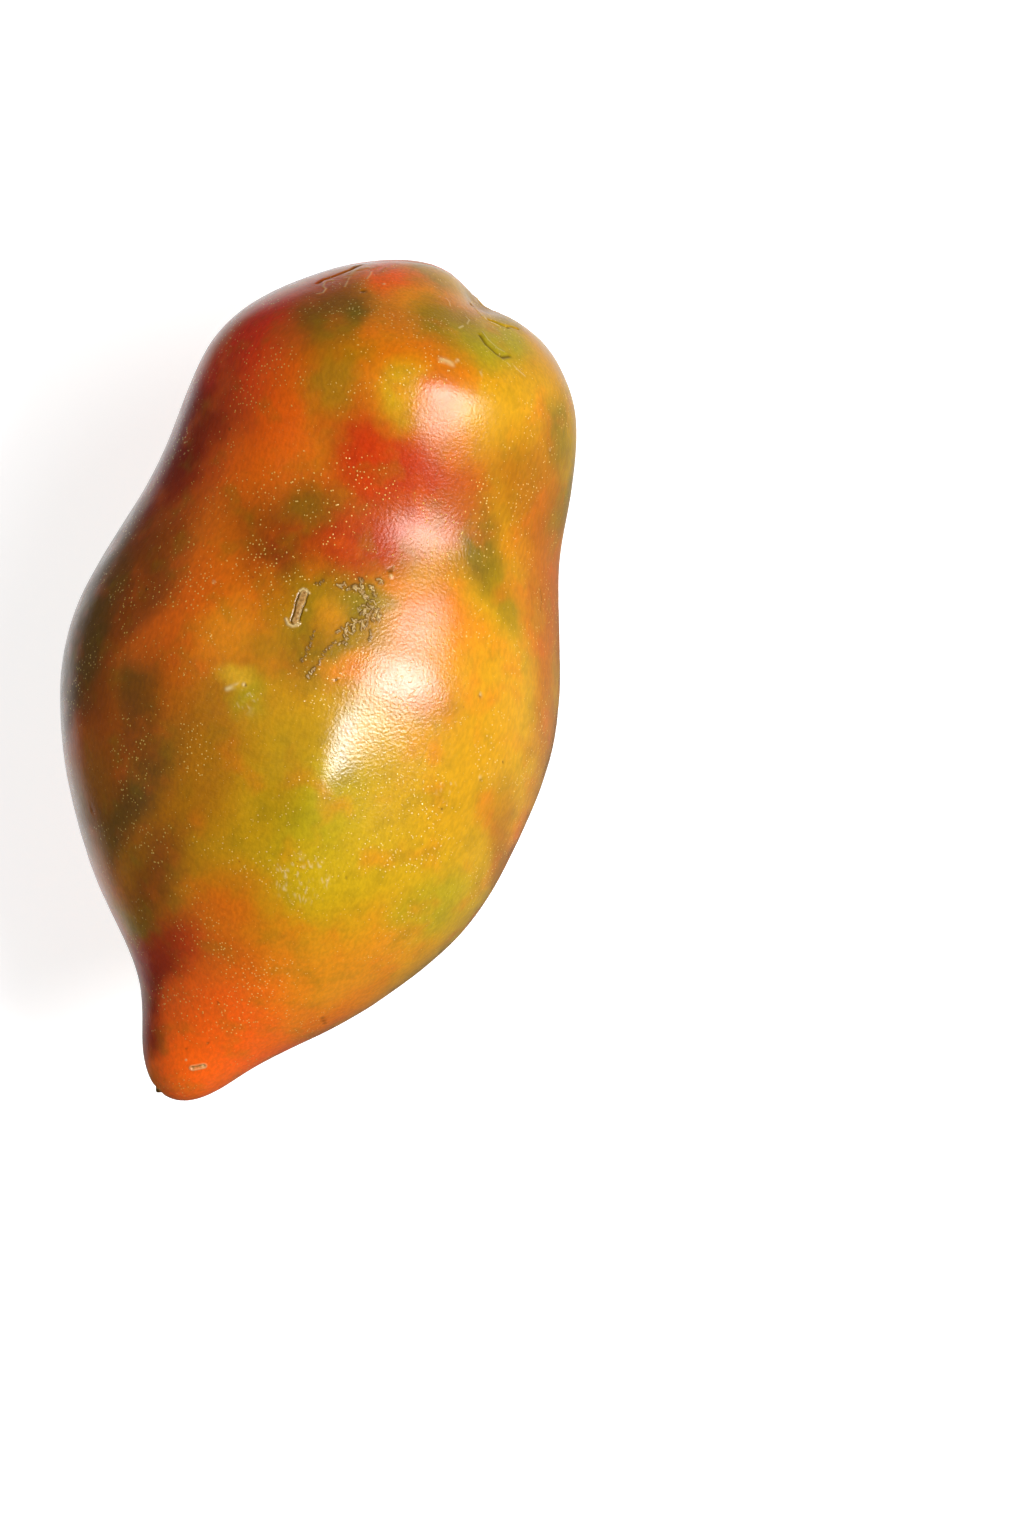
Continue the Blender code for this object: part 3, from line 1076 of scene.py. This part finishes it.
def mask_of(name):
    return add(tree, "Attribute", attribute_name=name).outputs["Fac"]


cork, pale, dark = mask_of("cork"), mask_of("pale"), mask_of("dark")
cork_grain = smooth(tree, clouds(tree, place, CORK_GRAIN, 2.0)["Fac"], 0.35, 0.65)
# The dark mask lays brown over gaps and pits, and painted shade round the crumbs.
paint = blend(tree, dark, paint, SHADE_AND_DIRT)
paint = blend(tree, cork, paint, blend(tree, cork_grain, CORK_DARK, CORK))
paint = blend(tree, pale, paint, STRAW)
feed(tree, shader.inputs["Base Color"], paint)

# %% [markdown]
# The skin is waxy. The clear coat stands for the wax and makes the crisp reflections, and the rougher
# skin below it adds a faint wide haze. Round the waist and on the shoulder the wax is worn, so the coat
# is weaker there. Corky places have none. A very fine bump gives the highlights their grainy edge.

# %% Gloss
SKIN_ROUGHNESS = 0.45
SCAR_ROUGHER = 0.3
SKIN_SPECULAR = 0.06
COAT_ROUGHNESS = 0.17
WAX_IOR = 1.5
GRAIN_LUMP = 0.50 * MM
GRAIN_DEPTH = 0.05 * MM
DOTS_IN_GRAIN = 0.9
WAX_LUMP = 3.5 * MM
THIN_WAX, THICK_WAX = 0.85, 1.10
WORN_WAX = ((437, 515), (28, 34), 0, 0.75, 0.65)

scarred = maths(tree, "MAXIMUM", cork, maths(tree, "MAXIMUM", pale, dark))
worn = use(tree, patch, Place=frayed, **patch_values(*WORN_WAX))["Mask"]
wax = smooth(tree, clouds(tree, place, WAX_LUMP, 3.0)["Fac"], 0.30, 0.70, THIN_WAX, THICK_WAX)
wax = maths(tree, "MULTIPLY", wax, maths(tree, "SUBTRACT", 1.0, worn))
wax = maths(tree, "MULTIPLY", wax, maths(tree, "SUBTRACT", 1.0, scarred))
rougher = maths(tree, "MULTIPLY", scarred, SCAR_ROUGHER)
wire(tree, shader, {"Coat Weight": wax, "Roughness": maths(tree, "ADD", SKIN_ROUGHNESS, rougher)})
wire(tree, shader, {"Specular IOR Level": SKIN_SPECULAR})
wire(tree, shader, {"Coat Roughness": COAT_ROUGHNESS, "Coat IOR": WAX_IOR})

peel = clouds(tree, place, GRAIN_LUMP)["Fac"]
dots = maths(tree, "MAXIMUM", large_pores, small_pores)
height = maths(tree, "ADD", peel, maths(tree, "MULTIPLY", dots, DOTS_IN_GRAIN))
grain = {"Distance": GRAIN_DEPTH, "Strength": 1.0, "Height": height}
normal = wire(tree, add(tree, "Bump"), grain)["Normal"]
wire(tree, shader, {"Normal": normal, "Coat Normal": normal})
mesh.materials.append(skin_material)
print(len(tree.nodes), "nodes in the skin")

# %% [markdown]
# The table is a wide pale disc, so that its edge is never seen. It does one more job. In the studio a
# white card stood close to the fruit, and its mirror image is the pale rim along the left edge. Here
# the table itself looks bright to mirror rays near the fruit and dark further off, which gives the same
# rim without another object in the picture.

# %% Pale table
TABLE_RADIUS = 3.0
TABLE_GREY = 0.82
TABLE_GLOW = 0.62
TABLE_ROUGHNESS = 0.6
CARD_MIDDLE = (-0.020, 0.030, 0.0)
CARD_REACH = (0.068, 0.149, 1.0)
CARD_LEAN = radians(20.0)
CARD_FADE = 0.52
CARD_GLOW = 0.85

table_mesh = bpy.data.meshes.new("table")
table_shape = bmesh.new()
bmesh.ops.create_circle(table_shape, cap_ends=True, segments=96, radius=TABLE_RADIUS)
table_shape.to_mesh(table_mesh)
table_shape.free()
table = add_object("table", table_mesh)

table_material = bpy.data.materials.new("pale table")
table_material.use_nodes = True
tree = table_material.node_tree
shader = tree.nodes["Principled BSDF"]
rays = add(tree, "LightPath").outputs
card = use(
    tree, patch, Place=add(tree, "NewGeometry").outputs["Position"], Middle=CARD_MIDDLE, Reach=CARD_REACH,
    Turn=(0.0, 0.0, -CARD_LEAN), Fade=CARD_FADE, Strength=CARD_GLOW,
)["Mask"]
seen = maths(tree, "MULTIPLY", rays["Is Camera Ray"], TABLE_GLOW)
glow = wire(tree, add(tree, "Mix"), {"Factor": rays["Is Glossy Ray"], "A": seen, "B": card})["Result"]
shade = blend(tree, rays["Is Glossy Ray"], (TABLE_GREY,) * 3, (0.0, 0.0, 0.0))
wire(tree, shader, {"Base Color": shade, "Roughness": TABLE_ROUGHNESS})
wire(tree, shader, {"Emission Color": (1.0, 1.0, 1.0), "Emission Strength": glow})
table_material.cycles.emission_sampling = "NONE"
table_mesh.materials.append(table_material)
print("table", 2 * TABLE_RADIUS, "m across")

# %% [markdown]
# A camera sees two things of a light: its mirror image on the wax, and the soft shading. Here they are
# set apart. Three ellipses, one behind the other, have only a mirror image. Together they stand for a
# softbox that is brightest in its middle, and they make the row of highlights. The other lights only
# shade: a key from the right, a softer one above it, and a fill from the left.

# %% Soft studio light
WORLD_GLOW = 0.10
LIGHTS = (  # name, azimuth and elevation in degrees, distance, size, power, mirror image only
    ("softbox middle", 18.7, 51.0, 1.00, (0.34, 0.40), 4.3, True),
    ("softbox", 18.7, 51.0, 1.01, (0.54, 0.64), 11.2, True),
    ("softbox edge", 18.7, 51.0, 1.02, (0.76, 0.90), 19.0, True),
    ("key", 4.0, 46.0, 1.0, (0.45, 0.60), 9.0, False),
    ("upper key", 40.0, 45.0, 1.2, (0.68, 0.68), 4.0, False),
    ("fill", 180.0, 60.0, 1.5, (1.3, 1.3), 7.0, False),
)


def soft_light(name, azimuth, elevation, distance, size, power, mirrored):
    data = bpy.data.lights.new(name, "AREA")
    data.shape = "ELLIPSE"
    data.size, data.size_y = size
    data.energy = power
    light = add_object(name, data)
    around, up = radians(azimuth), radians(elevation)
    away = Vector((cos(up) * cos(around), cos(up) * sin(around), sin(up)))
    light.location = Vector((0.0, 0.0, OUTLINE_HEIGHT)) + away * distance
    light.rotation_euler = away.to_track_quat("Z", "Y").to_euler()
    light.visible_diffuse = not mirrored
    light.visible_glossy = mirrored


for light_values in LIGHTS:
    soft_light(*light_values)
world = bpy.data.worlds.new("studio")
world.use_nodes = True
world.node_tree.nodes["Background"].inputs["Color"].default_value = (1, 1, 1, 1)
world.node_tree.nodes["Background"].inputs["Strength"].default_value = WORLD_GLOW
bpy.context.scene.world = world
bpy.context.scene.view_settings.view_transform = "Standard"
